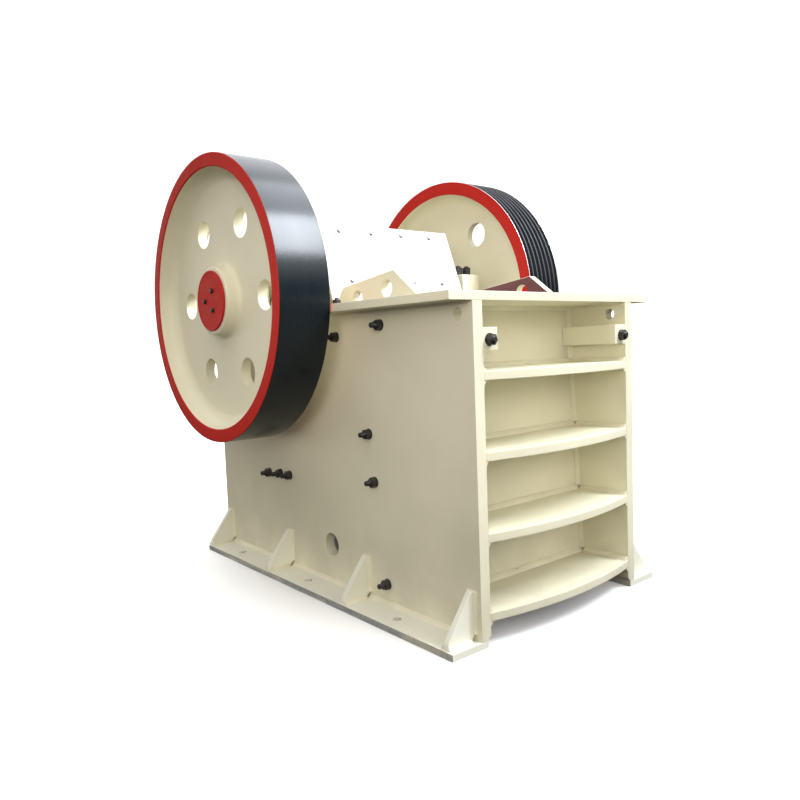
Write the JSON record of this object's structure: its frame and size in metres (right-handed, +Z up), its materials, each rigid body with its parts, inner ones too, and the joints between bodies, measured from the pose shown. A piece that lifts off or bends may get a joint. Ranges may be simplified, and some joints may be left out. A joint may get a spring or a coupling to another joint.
{
  "type": "jaw crusher",
  "caption": "Stationary jaw crusher: welded plate frame with bowed front ribs, toothed fixed and moving jaws, and an eccentric shaft carrying a flywheel and a grooved pulley.",
  "frame": {"origin": "centre of the foundation bolt rectangle, on the underside of the feet", "axes": "+Z up, X along the eccentric shaft with the plain flywheel at -X and the grooved pulley at +X, the ribbed front with the fixed jaw faces -Y"},
  "size_m": [1.909, 2.364, 2.298],
  "materials": {
    "frame_paint": "satin cream enamel",
    "cheek_paint": "satin cream enamel",
    "cheek_primer": "matt maroon primer",
    "pitman_paint": "satin cream enamel",
    "white_paint": "satin white enamel",
    "red_paint": "gloss red enamel",
    "flywheel_finish": "machined dark tread, red ring face, cream web",
    "pulley_finish": "black grooved tread, red ring face, cream web",
    "shaft_steel": "machined, oiled",
    "cast_steel": "as cast",
    "jaw_steel": "as cast manganese steel"
  },
  "bodies": {
    "frame": {"side_plate_left": "frame_paint", "side_plate_right": "frame_paint", "top_flange_front": "frame_paint", "top_flange_left": "frame_paint", "top_flange_right": "frame_paint", "rear_flange_left": "frame_paint", "rear_flange_right": "frame_paint", "front_wall": "frame_paint", "front_rib_1": "frame_paint", "front_rib_2": "frame_paint", "front_rib_3": "frame_paint", "front_rib_4": "frame_paint", "clamp_bar_left": "frame_paint", "clamp_bar_right": "frame_paint", "foot_flange_left": "frame_paint", "foot_flange_right": "frame_paint", "foot_gussets_left": "frame_paint", "foot_gussets_right": "frame_paint", "rear_wall": "frame_paint", "rear_rib_1": "frame_paint", "rear_rib_2": "frame_paint", "rear_rib_3": "frame_paint", "toggle_plate": "cast_steel", "toggle_beam": "frame_paint", "bearing_base_left": "frame_paint", "bearing_base_right": "frame_paint", "bearing_cap_left": "frame_paint", "bearing_cap_right": "frame_paint", "fixed_jaw_plate": "jaw_steel", "cheek_upper_left": "cheek_paint", "cheek_upper_right": "cheek_primer", "cheek_lower_left": "jaw_steel", "cheek_lower_right": "jaw_steel"},
    "shaft": {"eccentric_shaft": "shaft_steel", "flywheel": "flywheel_finish", "flywheel_cover": "red_paint", "pulley": "pulley_finish", "pulley_cover": "red_paint"},
    "jaw": {"pitman": "pitman_paint", "guard_plate": "white_paint", "moving_jaw_plate": "jaw_steel"}
  },
  "joints": [
    {"name": "shaft_spin", "type": "hinge", "parent": "frame", "child": "shaft", "pos_m": [0, 0.335, 1.519], "axis": [1, 0, 0], "continuous": true},
    {"name": "jaw_orbit", "type": "hinge", "parent": "shaft", "child": "jaw", "pos_m": [0, 0.335, 1.504], "axis": [1, 0, 0], "continuous": true}
  ],
  "couplings": [
    {"joint": "jaw_orbit", "follows": "shaft_spin", "ratio": -1}
  ]
}
